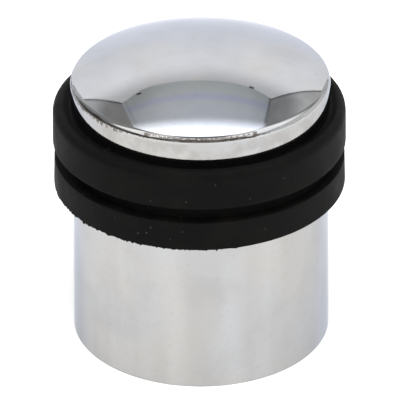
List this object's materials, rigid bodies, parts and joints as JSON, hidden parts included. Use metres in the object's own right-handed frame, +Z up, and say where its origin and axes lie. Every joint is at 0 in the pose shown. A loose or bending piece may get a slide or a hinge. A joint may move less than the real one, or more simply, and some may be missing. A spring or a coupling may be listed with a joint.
{
  "type": "floor door stop",
  "caption": "Cylindrical floor door stop: chromed body and domed cap with a grooved rubber buffer ring between them, on a concealed floor plate.",
  "frame": {"origin": "centre of the round base, on the floor", "axes": "+Z up along the stop's axis; the grub screw is on the +Y side; the door may strike from any side"},
  "size_m": [0.0396, 0.0396, 0.0416],
  "materials": {
    "chromed_body": "polished chrome plate",
    "chromed_cap": "polished chrome plate",
    "buffer_rubber": "matte moulded black rubber",
    "zinc_plated_steel": "bright zinc plate",
    "gasket_foam": "closed-cell foam rubber",
    "grub_steel": "black-oxide steel"
  },
  "bodies": {
    "floor_plate": {"mounting_plate": "zinc_plated_steel", "floor_gasket": "gasket_foam"},
    "stop": {"body_shell": "chromed_body", "cap": "chromed_cap", "cap_screw": "zinc_plated_steel", "cap_flat_washer": "zinc_plated_steel", "cap_spring_washer": "zinc_plated_steel"},
    "ring": {"buffer_ring": "buffer_rubber"},
    "grub": {"grub_screw": "grub_steel"}
  },
  "joints": [
    {"name": "stop_lift", "type": "slide", "parent": "floor_plate", "child": "stop", "axis": [0, 0, 1], "range_m": [0, 0.012]},
    {"name": "ring_turn", "type": "hinge", "parent": "stop", "child": "ring", "pos_m": [0, 0, 0.0279], "axis": [0, 0, 1], "continuous": true},
    {"name": "grub_turn", "type": "hinge", "parent": "stop", "child": "grub", "pos_m": [0, 0.01465, 0.0045], "axis": [0, -1, 0], "range_deg": [0, 540]}
  ]
}
